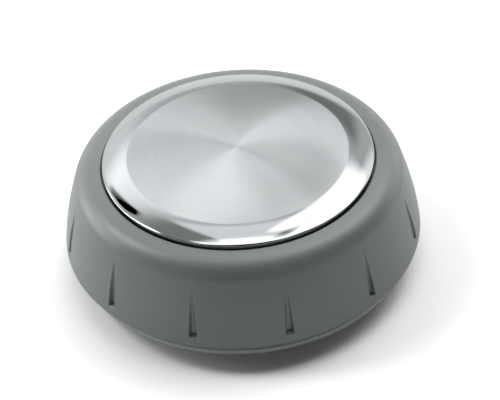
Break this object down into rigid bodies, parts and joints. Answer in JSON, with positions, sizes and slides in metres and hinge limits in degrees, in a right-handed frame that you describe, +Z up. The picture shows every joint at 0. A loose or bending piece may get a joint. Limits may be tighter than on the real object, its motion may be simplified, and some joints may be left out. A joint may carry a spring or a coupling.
{
  "type": "rotary control knob",
  "caption": "Round control knob: a notched grip shell with a domed spun-metal face, turning in a fixed base plate, its hub holding a D-shaped shaft socket.",
  "frame": {"origin": "on the turning axis, in the plane of the base plate's underside", "axes": "+Z up along the turning axis, out of the panel; -Y towards the front grip notch; +Y towards the flat of the D-shaped socket"},
  "size_m": [0.076, 0.076, 0.0249],
  "materials": {
    "grip_plastic": "fine satin texture, moulded in mid grey",
    "base_plastic": "satin, moulded in mid grey",
    "carrier_plastic": "plain moulded engineering plastic",
    "bearing_plastic": "smooth natural acetal",
    "adhesive_sheet": "double-sided adhesive sheet",
    "spring_steel": "oiled spring steel",
    "plated_steel": "bright zinc plate",
    "face_metal": "circular brushed dome with a polished bevel"
  },
  "bodies": {
    "base": {"base_plate": "base_plastic", "thrust_washer": "bearing_plastic"},
    "knob": {"hub_carrier": "carrier_plastic", "retaining_ring": "spring_steel", "shaft_clip": "spring_steel", "grip_shell": "grip_plastic", "carrier_screw_1": "plated_steel", "carrier_screw_2": "plated_steel", "carrier_screw_3": "plated_steel", "face_adhesive": "adhesive_sheet", "face_disc": "face_metal"}
  },
  "joints": [
    {"name": "knob_turn", "type": "hinge", "parent": "base", "child": "knob", "pos_m": [0, 0, 0], "axis": [0, 0, 1], "continuous": true}
  ]
}
